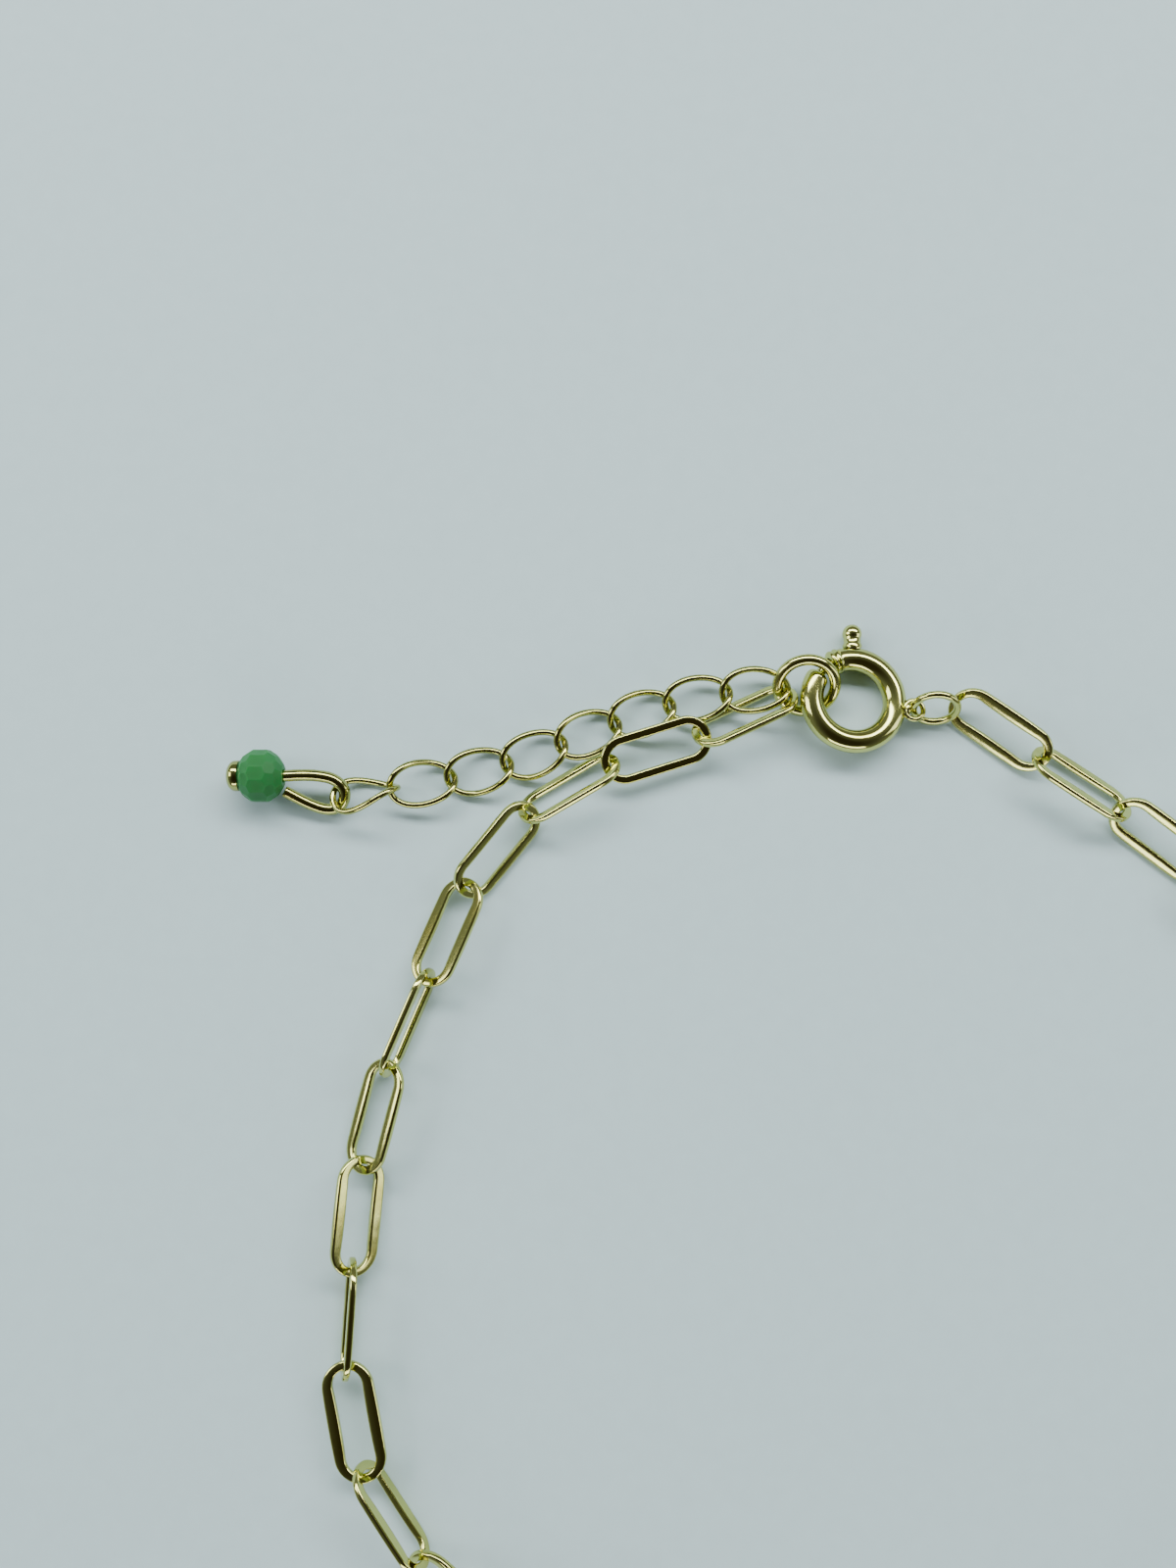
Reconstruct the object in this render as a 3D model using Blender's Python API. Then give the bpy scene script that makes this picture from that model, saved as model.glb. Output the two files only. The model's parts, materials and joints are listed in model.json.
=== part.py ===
"""Emerald bracelet: a flat paperclip chain closed by a spring ring clasp, with an extender chain
that ends in one faceted emerald bead on an eye pin. It lies fastened on a level surface.

Metres, +Z up. The finished model stands on z = 0 with the middle of its box over the origin.
"""
import math

import bmesh
import bpy
from mathutils import Matrix, Vector

MM = 0.001

# Flat paperclip links of the chain
LINK_LENGTH = 6.3 * MM
LINK_WIDTH = 2.7 * MM
LINK_WIRE_WIDTH = 0.48 * MM
LINK_WIRE_THICKNESS = 0.35 * MM
LINK_PLAY = 0.05 * MM
LINK_HANG_PLAY = 0.064962 * MM

# Oval curb links of the extender
EXTENDER_LENGTH = 4.0 * MM
EXTENDER_WIDTH = 2.7 * MM
EXTENDER_WIRE = 0.36 * MM
EXTENDER_PLAY = 0.07 * MM
EXTENDER_TWIST = 0.36 * MM

# Spring ring clasp
CLASP_DIAMETER = 6.0 * MM
CLASP_TUBE = 1.3 * MM
CLASP_PLACE = Vector((14.66, 4.55, 0.0)) * MM
CLASP_TILT = 9.3
CLASP_RAISED_SIDE = 220.0
GAP_START = 118.0
GAP_END = 146.0
GATE_TRAVEL = 32.0
COLLAR_LENGTH = 12.0
SOCKET_DEPTH = 9.0
CHAMBER_END = 25.0
SLOT_MARGIN = 6.0
TUBE_STEP = 14.0
SLOT_STEP = 9.0
# Tube's collar beside the gap: degrees before the gap, share of the tube's radius
COLLAR_PROFILE = ((-12, 1.0), (-11, 1.1), (-8.5, 1.1), (-7.5, 0.97), (-6, 0.97), (-5, 1.07),
                  (-2, 1.07), (0, 0.86))
# Tube's rounded end across the gap: degrees past the gap, share of the tube's radius
SOCKET_PROFILE = ((0, 0.74), (2, 0.89), (5, 0.97))

# Gate of the clasp: the tongue in the tube and its knob
TONGUE_WIRE = 0.56 * MM
TONGUE_PLAY = 0.11 * MM
TONGUE_TAIL = 62.0
TONGUE_ENTRY = 3.0
KNOB_ANGLE = 88.5
NECK_PLAY = 0.065 * MM
KNOB_FLANGE = 0.08 * MM
KNOB_STEM = 0.88 * MM
KNOB_BALL = 1.04 * MM
KNOB_HEIGHT = 1.36 * MM
KNOB_CLEARANCE = 0.06 * MM

# Eye soldered to the clasp, and the jump ring in it
EYE_DIAMETER = 1.36 * MM
EYE_WIRE = 0.3 * MM
EYE_BITE = 0.15 * MM
EYE_ANGLE = -9.5
EYE_RAISE = 0.32 * MM
JUMP_RING_DIAMETER = 2.8 * MM
JUMP_RING_WIRE = 0.42 * MM
JUMP_RING_OFFSET = Vector((1.13, 0.06, 0.0)) * MM
JUMP_RING_TILT = 60.8
JUMP_RING_HIGH_SIDE = 85.2

# End ring that the clasp hooks on
END_RING_DIAMETER = 3.8 * MM
END_RING_WIRE = 0.6 * MM
END_RING_ANGLE = 163.4
END_RING_REACH = 0.37 * MM
END_RING_TILT = 36.8
END_RING_HIGH_SIDE = 88.5

# Emerald bead and its eye pin
BEAD_LENGTH = 2.5 * MM
BEAD_DIAMETER = 2.9 * MM
BEAD_HOLE_PLAY = 0.11 * MM
BEAD_SIDES = 12
BEAD_FACE_PLACE = Vector((-16.65, 0.3, 0.0)) * MM
PIN_WIRE = 0.56 * MM
PIN_HEAD_DIAMETER = 1.6 * MM
PIN_HEAD_THICKNESS = 0.58 * MM
PIN_CLEARANCE = 0.05 * MM
PIN_DROOP = 27.0
# The pin's domed head: share of its thickness, share of its radius
PIN_HEAD_PROFILE = ((0.0, 0.35), (0.17, 0.72), (0.45, 0.95), (0.67, 1.0), (1.0, 0.92))
# The pin's teardrop loop, from the bead's face round to its cut end, in mm from where it leaves
PIN_LOOP = ((0.05, 0.0), (0.75, 0.04), (1.75, 0.02), (2.65, -0.18), (3.19, -0.68), (3.25, -1.3),
            (2.9, -1.84), (2.2, -1.96), (1.25, -1.62), (0.37, -1.1))

# The loop as it lies: from the clasp to its far side, and across
LOOP_DEPTH = 55.85 * MM
LOOP_WIDTH = 53.66 * MM

# The end ring and the jump ring as they lie where both routes are drawn. The extender, the bead
# and the first joints of the chain move with the end ring, and its last joints with the jump ring.
DRAWN_END_RING = Vector((12.05336, 5.32707, 0.0)) * MM
DRAWN_JUMP_RING = Vector((19.14116, 4.06683, 0.0)) * MM
JOINTS_WITH_END_RING = 12
JOINTS_WITH_JUMP_RING = 4
DRAWN_LOOP_DEPTH = 55.85 * MM
DRAWN_LOOP_WIDTH = 53.66 * MM

# The chain's route: the joint at the end ring, then every link joint as far as the stretch that
# takes the plain way round, and back to the jump ring. Places in mm, each with the height at
# which other pieces hold the joint, or 0 where the links lie on the surface.
CHAIN_ROUTE = (
    (11.04, 4.79, 0.98), (6.28, 2.56, 1.17), (1.28, 0.98, 1.28), (-3.26, -1.65, 1.05),
    (-6.60, -5.75, 0.0), (-8.65, -10.58, 0.0), (-10.71, -15.40, 0.0), (-12.05, -20.48, 0.0),
    (-12.45, -25.70, 0.0), (-12.76, -30.95, 0.0), (-11.75, -36.10, 0.0), (-8.80, -40.45, 0.0),
    (1.1, -47.7, 0.0), (13.5, -51.3, 0.0), (26.6, -48.4, 0.0), (36.8, -38.8, 0.0),
    (40.9, -26.0, 0.0), (38.8, -12.8, 0.0), (33.45, -4.84, 0.0), (29.19, -1.51, 0.0),
    (24.85, 1.39, 0.0), (20.60, 4.43, 0.92),
)
FIRST_LEANS = (45, -15, 50, -42, 30, -78, 36, -38, 76, 6, -70)
HIDDEN_LEAN = 36
LAST_LEANS = (-44, 45, -41)
LAST_EXTENDER_LEAN = -49

# The extender's route from the end ring to the eye pin, in mm
EXTENDER_ROUTE = (
    (10.81, 5.27, 1.16), (7.63, 4.96, 1.10), (4.52, 4.35, 0.73), (1.49, 3.34, 0.67),
    (-1.44, 2.12, 0.92), (-4.42, 1.03, 0.60), (-7.60, 0.25, 0.61), (-10.68, -0.37, 1.23),
    (-13.80, -0.89, 0.99),
)

LINK_END_STEPS = 6
OVAL_STEPS = 16
RING_STEPS = 16
WIRE_SIDES = 6
TUBE_SIDES = 12
TURNED_SIDES = 12
PIN_SIDES = 10
TONGUE_SIDES = 8
TONGUE_STEPS = 12

GOLD = (0.83, 0.72, 0.44, 1.0)
EMERALD = (0.05, 0.30, 0.10, 1.0)


def make_material(name, colour, roughness, metallic):
    material = bpy.data.materials.new(name)
    material.use_nodes = True
    shader = material.node_tree.nodes["Principled BSDF"]
    shader.inputs["Base Color"].default_value = colour
    shader.inputs["Roughness"].default_value = roughness
    shader.inputs["Metallic"].default_value = metallic
    material.diffuse_color = colour
    return material


def polar(angle, radius=1.0):
    """Point in a level plane at an angle in degrees."""
    return Vector((math.cos(math.radians(angle)), math.sin(math.radians(angle)), 0.0)) * radius


def tilted_ring_matrix(place, height, tilt, high_side):
    """Placement of a ring that lies level, then has the side named high_side raised by tilt."""
    across = Matrix.Rotation(math.radians(-tilt), 4, polar(high_side + 90))
    return Matrix.Translation(place + Vector((0, 0, height))) @ across


def finish_mesh(mesh_name, bm):
    bmesh.ops.recalc_face_normals(bm, faces=bm.faces)
    mesh = bpy.data.meshes.new(mesh_name)
    bm.to_mesh(mesh)
    bm.free()
    mesh.shade_smooth()
    mesh.set_sharp_from_angle(angle=math.radians(40))
    return mesh


def add_object(name, mesh, material, matrix):
    if material.name not in mesh.materials:
        mesh.materials.append(material)
    piece = bpy.data.objects.new(name, mesh)
    bpy.context.scene.collection.objects.link(piece)
    piece.matrix_world = matrix
    return piece


def bridge_rings(bm, rings, closed):
    """Skin between rings of points that match one to one, capped where the row of rings ends."""
    loops = [[bm.verts.new(point) for point in ring] for ring in rings]
    count = len(loops)
    for first in range(count if closed else count - 1):
        here = loops[first]
        there = loops[(first + 1) % count]
        sides = len(here)
        for side in range(sides):
            after = (side + 1) % sides
            bm.faces.new((here[side], here[after], there[after], there[side]))
    if not closed:
        bm.faces.new(loops[0])
        bm.faces.new(loops[-1])


def section(centre, out, up, shape):
    """A wire's section, given by shape, across the wire at centre."""
    return [centre + out * across + up * along for across, along in shape]


def round_shape(diameter, sides=WIRE_SIDES, turn=0.0):
    radius = diameter / 2
    angles = [math.tau * side / sides + turn for side in range(sides)]
    return [(radius * math.cos(angle), radius * math.sin(angle)) for angle in angles]


def flat_shape(width, thickness):
    """Flattened wire: two flat faces and edges that come to a ridge."""
    shoulder = width * 0.3
    half = thickness / 2
    return [(width / 2, 0), (shoulder, half), (-shoulder, half),
            (-width / 2, 0), (-shoulder, -half), (shoulder, -half)]


def paperclip_mesh():
    """Long link with straight sides and round ends, its length along X, level."""
    bend = (LINK_WIDTH - LINK_WIRE_WIDTH) / 2
    straight = LINK_LENGTH / 2 - LINK_WIDTH / 2
    shape = flat_shape(LINK_WIRE_WIDTH, LINK_WIRE_THICKNESS)
    rings = []
    for end, start in ((1, -90), (-1, 90)):
        middle = Vector((end * straight, 0, 0))
        for step in range(LINK_END_STEPS + 1):
            out = polar(start + 180 * step / LINK_END_STEPS)
            rings.append(section(middle + out * bend, out, Vector((0, 0, 1)), shape))
    bm = bmesh.new()
    bridge_rings(bm, rings, closed=True)
    return finish_mesh("paperclip_link", bm)


def oval_mesh():
    """Oval link twisted so that a row of them lies flat, its length along X."""
    long_half = (EXTENDER_LENGTH - EXTENDER_WIRE) / 2
    short_half = (EXTENDER_WIDTH - EXTENDER_WIRE) / 2
    shape = round_shape(EXTENDER_WIRE)

    def centre(turn):
        return Vector((long_half * math.cos(turn), short_half * math.sin(turn),
                       -EXTENDER_TWIST * math.sin(2 * turn)))

    rings = []
    for step in range(OVAL_STEPS):
        turn = math.tau * step / OVAL_STEPS
        ahead = Vector((-long_half * math.sin(turn), short_half * math.cos(turn),
                        -2 * EXTENDER_TWIST * math.cos(2 * turn))).normalized()
        out = ahead.cross(Vector((0, 0, 1))).normalized()
        rings.append(section(centre(turn), out, out.cross(ahead), shape))
    bm = bmesh.new()
    bridge_rings(bm, rings, closed=True)
    return finish_mesh("oval_link", bm)


def round_ring_mesh(mesh_name, diameter, wire, steps=RING_STEPS):
    shape = round_shape(wire)
    middle = (diameter - wire) / 2
    rings = []
    for step in range(steps):
        out = polar(360 * step / steps)
        rings.append(section(out * middle, out, Vector((0, 0, 1)), shape))
    bm = bmesh.new()
    bridge_rings(bm, rings, closed=True)
    return finish_mesh(mesh_name, bm)


def turned_mesh(mesh_name, profile, base, axis, side):
    """Turned solid: profile holds (distance along axis, radius), and ends in flat faces."""
    other = axis.cross(side)
    rings = []
    for along, radius in profile:
        rings.append(section(base + axis * along, side, other, round_shape(radius * 2, TURNED_SIDES)))
    bm = bmesh.new()
    bridge_rings(bm, rings, closed=False)
    return finish_mesh(mesh_name, bm)


def smooth_path(points, steps=24):
    """Smooth curve through the points, as a dense list."""
    spans = [(b - a).length for a, b in zip(points, points[1:])]
    slopes = [(b - a) / span for a, b, span in zip(points, points[1:], spans)]
    tangents = [slopes[0]]
    for before, after, back, ahead in zip(slopes, slopes[1:], spans, spans[1:]):
        tangents.append((before * ahead + after * back) / (back + ahead))
    tangents.append(slopes[-1])
    dense = []
    for i, span in enumerate(spans):
        for step in range(steps):
            t = step / steps
            dense.append(points[i] * (2 * t ** 3 - 3 * t ** 2 + 1)
                         + tangents[i] * span * (t ** 3 - 2 * t ** 2 + t)
                         + points[i + 1] * (3 * t ** 2 - 2 * t ** 3)
                         + tangents[i + 1] * span * (t ** 3 - t ** 2))
    dense.append(points[-1])
    return dense


def path_length(path):
    return sum((b - a).length for a, b in zip(path, path[1:]))


def places_along(path, distances):
    """Places along the path at the distances given, the first at its start and the last at its end."""
    places = [path[0]]
    walked = 0.0
    for a, b in zip(path, path[1:]):
        span = (b - a).length
        while len(places) < len(distances) - 1 and walked + span >= distances[len(places)]:
            share = (distances[len(places)] - walked) / span
            places.append(a.lerp(b, share))
        walked += span
    places.append(path[-1])
    return places


def equal_steps(path, count):
    """count + 1 places along the path, equally far apart along it."""
    total = path_length(path)
    return places_along(path, [total * step / count for step in range(count + 1)])


def link_matrix(start, end, lean):
    """Placement of a link between two joints; a lean above 0 raises the side inside the loop."""
    ahead = (end - start).normalized()
    inner = Vector((0, 0, 1)).cross(ahead).normalized()
    up = ahead.cross(inner)
    across = inner * math.cos(math.radians(lean)) + up * math.sin(math.radians(lean))
    normal = ahead.cross(across)
    turned = Matrix((ahead, across, normal)).transposed().to_4x4()
    return Matrix.Translation((start + end) / 2) @ turned


def rest_height(lean):
    """Height of a link's middle when its lower side lies on the surface."""
    turn = math.radians(lean)
    return LINK_WIDTH / 2 * abs(math.sin(turn)) + LINK_WIRE_THICKNESS / 2 * abs(math.cos(turn))


def chain_leans(count):
    hidden = count - len(FIRST_LEANS) - len(LAST_LEANS)
    middle = [HIDDEN_LEAN if i % 2 == 0 else -HIDDEN_LEAN for i in range(hidden)]
    return list(FIRST_LEANS) + middle + list(LAST_LEANS)


def end_ring_centre():
    return CLASP_PLACE + polar(END_RING_ANGLE, clasp_middle() + END_RING_REACH)


def jump_ring_centre():
    eye = (clasp_matrix() @ eye_offset()).translation
    return Vector((eye.x, eye.y, 0.0)) + JUMP_RING_OFFSET


def with_end_ring():
    return end_ring_centre() - DRAWN_END_RING


def with_jump_ring():
    return jump_ring_centre() - DRAWN_JUMP_RING


def chain_route():
    places = [Vector((x, y, 0.0)) * MM for x, y, height in CHAIN_ROUTE]
    for place in places[:JOINTS_WITH_END_RING]:
        place += with_end_ring()
    for place in places[-JOINTS_WITH_JUMP_RING:]:
        place += with_jump_ring()
    for place in places[JOINTS_WITH_END_RING:-JOINTS_WITH_JUMP_RING]:
        place.x *= LOOP_WIDTH / DRAWN_LOOP_WIDTH
        place.y *= LOOP_DEPTH / DRAWN_LOOP_DEPTH
    return smooth_path(places)


def chain_joints(route):
    """Joints of the links: a fixed pitch where the chain shows, and equal steps between."""
    pitch = LINK_LENGTH - 2 * LINK_WIRE_WIDTH - LINK_HANG_PLAY
    longest_pitch = LINK_LENGTH - 2 * LINK_WIRE_WIDTH - LINK_PLAY
    first = len(FIRST_LEANS)
    last = len(LAST_LEANS)
    total = path_length(route)
    hidden = total - (first + last) * pitch
    between = math.ceil(hidden / longest_pitch)
    between += 1 - (first + between + last) % 2
    walked = [pitch * i for i in range(first + 1)]
    walked += [walked[-1] + hidden * i / between for i in range(1, between + 1)]
    walked += [total - pitch * i for i in range(last - 1, -1, -1)]
    return places_along(route, walked)


def build_chain(gold):
    """The loop of paperclip links: an odd number, so that the leans of neighbours alternate."""
    joints = chain_joints(chain_route())
    count = len(joints) - 1
    leans = chain_leans(count)
    rests = [rest_height(lean) for lean in leans]
    held = [height * MM for x, y, height in CHAIN_ROUTE]
    for i, joint in enumerate(joints):
        carried = held[i] if i < len(FIRST_LEANS) else held[-1] if i == count else 0.0
        joint.z = carried or max(rests[max(i - 1, 0):i + 1])
    mesh = paperclip_mesh()
    for i, lean in enumerate(leans):
        add_object(f"chain_link_{i + 1:02d}", mesh, gold, link_matrix(joints[i], joints[i + 1], lean))


def build_extender(gold):
    route = smooth_path([Vector(point) * MM + with_end_ring() for point in EXTENDER_ROUTE])
    longest_pitch = EXTENDER_LENGTH - 2 * EXTENDER_WIRE - EXTENDER_PLAY
    count = math.ceil(path_length(route) / longest_pitch)
    joints = equal_steps(route, count)
    mesh = oval_mesh()
    leans = [0] * (count - 1) + [LAST_EXTENDER_LEAN]
    for i, lean in enumerate(leans):
        add_object(f"extender_link_{i + 1}", mesh, gold, link_matrix(joints[i + 1], joints[i], lean))


def build_end_ring(gold):
    middle = (END_RING_DIAMETER - END_RING_WIRE) / 2
    height = middle * math.sin(math.radians(END_RING_TILT)) + END_RING_WIRE / 2
    mesh = round_ring_mesh("end_ring", END_RING_DIAMETER, END_RING_WIRE)
    place = tilted_ring_matrix(end_ring_centre(), height, END_RING_TILT, END_RING_HIGH_SIDE)
    add_object("end_ring", mesh, gold, place)


def build_jump_ring(gold):
    middle = (JUMP_RING_DIAMETER - JUMP_RING_WIRE) / 2
    height = middle * math.sin(math.radians(JUMP_RING_TILT)) + JUMP_RING_WIRE / 2
    mesh = round_ring_mesh("clasp_jump_ring", JUMP_RING_DIAMETER, JUMP_RING_WIRE)
    place = tilted_ring_matrix(jump_ring_centre(), height, JUMP_RING_TILT, JUMP_RING_HIGH_SIDE)
    add_object("clasp_jump_ring", mesh, gold, place)


def clasp_middle():
    """Radius of the centre line of the clasp's tube."""
    return (CLASP_DIAMETER - CLASP_TUBE) / 2


def clasp_bore():
    return TONGUE_WIRE + 2 * TONGUE_PLAY


def eye_offset():
    """Placement of the eye in the clasp's own frame, its rim sunk into the tube."""
    reach = CLASP_DIAMETER / 2 + EYE_DIAMETER / 2 - EYE_WIRE / 2 - EYE_BITE
    return Matrix.Translation(polar(EYE_ANGLE, reach) + Vector((0, 0, EYE_RAISE)))


def clasp_matrix():
    height = clasp_middle() * math.sin(math.radians(CLASP_TILT)) + CLASP_TUBE / 2
    return tilted_ring_matrix(CLASP_PLACE, height, CLASP_TILT, CLASP_RAISED_SIDE)


def clasp_stations():
    """Angles round the tube from its socket end to its collar end, each with a share of its radius."""
    plain_start = GAP_END + SOCKET_DEPTH
    plain_end = GAP_START + 360 - COLLAR_LENGTH
    chamber = CHAMBER_END + 360
    slot_end = KNOB_ANGLE + SLOT_MARGIN + 360
    slot_start = KNOB_ANGLE - GATE_TRAVEL - SLOT_MARGIN + 360
    stations = [(GAP_END + past, share) for past, share in SOCKET_PROFILE] + [(plain_start, 1.0)]
    for low, high, longest in ((plain_start, chamber, TUBE_STEP), (chamber, slot_start, TUBE_STEP),
                               (slot_start, slot_end, SLOT_STEP), (slot_end, plain_end, TUBE_STEP)):
        steps = math.ceil((high - low) / longest)
        for step in range(1, steps + 1):
            stations.append((low + (high - low) * step / steps, 1.0))
    stations.pop()
    stations += [(GAP_START + 360 + before, share) for before, share in COLLAR_PROFILE]
    return stations, chamber, slot_start, slot_end


def clasp_tube_mesh():
    """The tube, solid except for the tongue's socket and its chamber, which is slotted outside."""
    stations, chamber, slot_start, slot_end = clasp_stations()
    up = Vector((0, 0, 1))
    bm = bmesh.new()

    def ring_at(angle, diameter):
        out = polar(angle)
        return [bm.verts.new(point) for point in
                section(out * clasp_middle(), out, up, round_shape(diameter, TUBE_SIDES))]

    def skin(here, there, skipped=()):
        for side in range(TUBE_SIDES):
            if side not in skipped:
                after = (side + 1) % TUBE_SIDES
                bm.faces.new((here[side], here[after], there[after], there[side]))

    outer = [ring_at(angle, CLASP_TUBE * share) for angle, share in stations]
    inner = {}
    for i, (angle, share) in enumerate(stations):
        if angle <= GAP_END + SOCKET_DEPTH or angle >= chamber:
            inner[i] = ring_at(angle, clasp_bore())
    slot_sides = (TUBE_SIDES - 1, 0)
    last = len(stations) - 1
    for i in range(last):
        low, high = stations[i][0], stations[i + 1][0]
        slotted = low >= slot_start and high <= slot_end
        skipped = slot_sides if slotted else ()
        skin(outer[i], outer[i + 1], skipped)
        if i in inner and i + 1 in inner:
            skin(inner[i], inner[i + 1], skipped)
        if slotted:
            for edge in (1, TUBE_SIDES - 1):
                bm.faces.new((outer[i][edge], outer[i + 1][edge], inner[i + 1][edge], inner[i][edge]))
        for end, angle in ((i, low), (i + 1, high)):
            if slotted and angle in (slot_start, slot_end):
                for side in slot_sides:
                    after = (side + 1) % TUBE_SIDES
                    bm.faces.new((outer[end][side], outer[end][after],
                                  inner[end][after], inner[end][side]))
    skin(outer[0], inner[0])
    skin(outer[last], inner[last])
    bm.faces.new(inner[len(SOCKET_PROFILE)])
    bm.faces.new(inner[min(i for i in inner if stations[i][0] >= chamber)])
    return finish_mesh("clasp_tube", bm)


def add_union(piece, other):
    """Fuse other into piece; other stays as a hidden guide."""
    other.hide_render = True
    other.display_type = "WIRE"
    fuse = piece.modifiers.new("fused", "BOOLEAN")
    fuse.operation = "UNION"
    fuse.solver = "EXACT"
    fuse.object = other


def build_clasp_ring(gold):
    tube = add_object("clasp_ring", clasp_tube_mesh(), gold, clasp_matrix())
    eye_mesh = round_ring_mesh("clasp_eye", EYE_DIAMETER, EYE_WIRE, steps=12)
    eye = add_object("clasp_eye_guide", eye_mesh, gold, clasp_matrix() @ eye_offset())
    add_union(tube, eye)


def tongue_mesh():
    """Curved tongue from its tail in the chamber, across the gap, into the socket."""
    tip = GAP_END + TONGUE_ENTRY
    rings = []
    for step in range(TONGUE_STEPS + 1):
        out = polar(TONGUE_TAIL + (tip - TONGUE_TAIL) * step / TONGUE_STEPS)
        share = 0.7 if step in (0, TONGUE_STEPS) else 1.0
        shape = round_shape(TONGUE_WIRE * share, TONGUE_SIDES, turn=math.pi / TONGUE_SIDES)
        rings.append(section(out * clasp_middle(), out, Vector((0, 0, 1)), shape))
    bm = bmesh.new()
    bridge_rings(bm, rings, closed=False)
    return finish_mesh("clasp_tongue", bm)


def knob_profile():
    """Neck in the slot, flange, stem and ball, as (distance from the clasp's centre, radius)."""
    base = CLASP_DIAMETER / 2 + KNOB_CLEARANCE
    top = CLASP_DIAMETER / 2 + KNOB_HEIGHT
    ball = KNOB_BALL / 2
    centre = top - ball
    slot_width = clasp_bore() * math.sin(math.tau / TUBE_SIDES)
    neck = slot_width / 2 - NECK_PLAY
    rim = ball * 0.96
    profile = [(clasp_middle(), neck), (base, neck), (base, rim),
               (base + KNOB_FLANGE, rim), (base + KNOB_FLANGE * 1.5, KNOB_STEM / 2)]
    for turn in (-32, -8, 18, 42, 62, 80):
        angle = math.radians(turn)
        profile.append((centre + ball * math.sin(angle), ball * math.cos(angle)))
    return profile


def build_clasp_gate(gold):
    gate = add_object("clasp_gate", tongue_mesh(), gold, clasp_matrix())
    out = polar(KNOB_ANGLE)
    knob_mesh = turned_mesh("clasp_knob", knob_profile(), Vector(), out, Vector((0, 0, 1)))
    knob = add_object("clasp_knob_guide", knob_mesh, gold, clasp_matrix())
    add_union(gate, knob)


def bead_matrix():
    """Placement of the bead, which lies on one of its flat facets."""
    height = BEAD_DIAMETER / 2 * math.cos(math.pi / BEAD_SIDES)
    middle = BEAD_FACE_PLACE + with_end_ring() + Vector((-BEAD_LENGTH / 2, 0, height))
    return Matrix.Translation(middle)


def build_bead(green):
    """Faceted bead drilled along X: a belt of flat facets with kite facets on both sides of it."""
    half = BEAD_LENGTH / 2
    radius = BEAD_DIAMETER / 2
    hole = PIN_WIRE / 2 + BEAD_HOLE_PLAY
    rows = [(-half, hole, 0), (-half, 0.42 * radius, 0), (-0.70 * half, 0.80 * radius, 1),
            (-0.30 * half, radius, 0), (0.30 * half, radius, 0), (0.70 * half, 0.80 * radius, 1),
            (half, 0.42 * radius, 0), (half, hole, 0)]
    step = math.tau / BEAD_SIDES
    bm = bmesh.new()
    loops = []
    for x, reach, shift in rows:
        angles = [step * (side + 0.5 + shift * 0.5) - math.pi / 2 for side in range(BEAD_SIDES)]
        loops.append([bm.verts.new((x, reach * math.cos(a), reach * math.sin(a))) for a in angles])
    for i, (_, _, shift) in enumerate(rows):
        here = loops[i]
        following = (i + 1) % len(rows)
        there = loops[following]
        for side in range(BEAD_SIDES):
            after = (side + 1) % BEAD_SIDES
            if shift == rows[following][2]:
                bm.faces.new((here[side], here[after], there[after], there[side]))
            elif shift:
                bm.faces.new((here[side], here[after], there[after]))
                bm.faces.new((here[side], there[after], there[side]))
            else:
                bm.faces.new((here[side], here[after], there[side]))
                bm.faces.new((here[after], there[after], there[side]))
    mesh = finish_mesh("faceted_bead", bm)
    add_object("emerald_bead", mesh, green, bead_matrix())


def build_eye_pin(gold):
    """Headed pin through the bead, bent into a teardrop loop beyond it."""
    up = Vector((0, 0, 1))
    half = BEAD_LENGTH / 2
    head_start = -half - PIN_CLEARANCE - PIN_HEAD_THICKNESS
    profile = [(head_start + PIN_HEAD_THICKNESS * along, PIN_HEAD_DIAMETER * share)
               for along, share in PIN_HEAD_PROFILE]
    profile.append((head_start + PIN_HEAD_THICKNESS, PIN_WIRE))
    rings = []
    for x, diameter in profile:
        rings.append(section(Vector((x, 0, 0)), Vector((0, 1, 0)), up, round_shape(diameter, PIN_SIDES)))
    bend = [Vector((half, 0, 0)) + Vector((x, y, 0)) * MM for x, y in PIN_LOOP]
    path = smooth_path([Vector((0, 0, 0))] + bend, steps=2)
    for i, place in enumerate(path):
        before = path[max(i - 1, 0)]
        after = path[min(i + 1, len(path) - 1)]
        ahead = (after - before).normalized()
        rings.append(section(place, up.cross(ahead), up, round_shape(PIN_WIRE, PIN_SIDES)))
    bm = bmesh.new()
    bridge_rings(bm, rings, closed=False)
    mesh = finish_mesh("eye_pin", bm)
    droop = Matrix.Rotation(math.radians(PIN_DROOP), 4, "X")
    add_object("eye_pin", mesh, gold, bead_matrix() @ droop)


def settle():
    """Bring the box's middle over the origin and its lowest point to z = 0."""
    bpy.context.view_layer.update()
    depsgraph = bpy.context.evaluated_depsgraph_get()
    low = Vector((math.inf,) * 3)
    high = Vector((-math.inf,) * 3)
    pieces = list(bpy.context.scene.objects)
    for piece in pieces:
        if piece.hide_render:
            continue
        evaluated = piece.evaluated_get(depsgraph)
        for vertex in evaluated.to_mesh().vertices:
            place = evaluated.matrix_world @ vertex.co
            low = Vector(map(min, low, place))
            high = Vector(map(max, high, place))
        evaluated.to_mesh_clear()
    shift = Vector((-(low.x + high.x) / 2, -(low.y + high.y) / 2, -low.z))
    for piece in pieces:
        piece.matrix_world = Matrix.Translation(shift) @ piece.matrix_world


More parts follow.
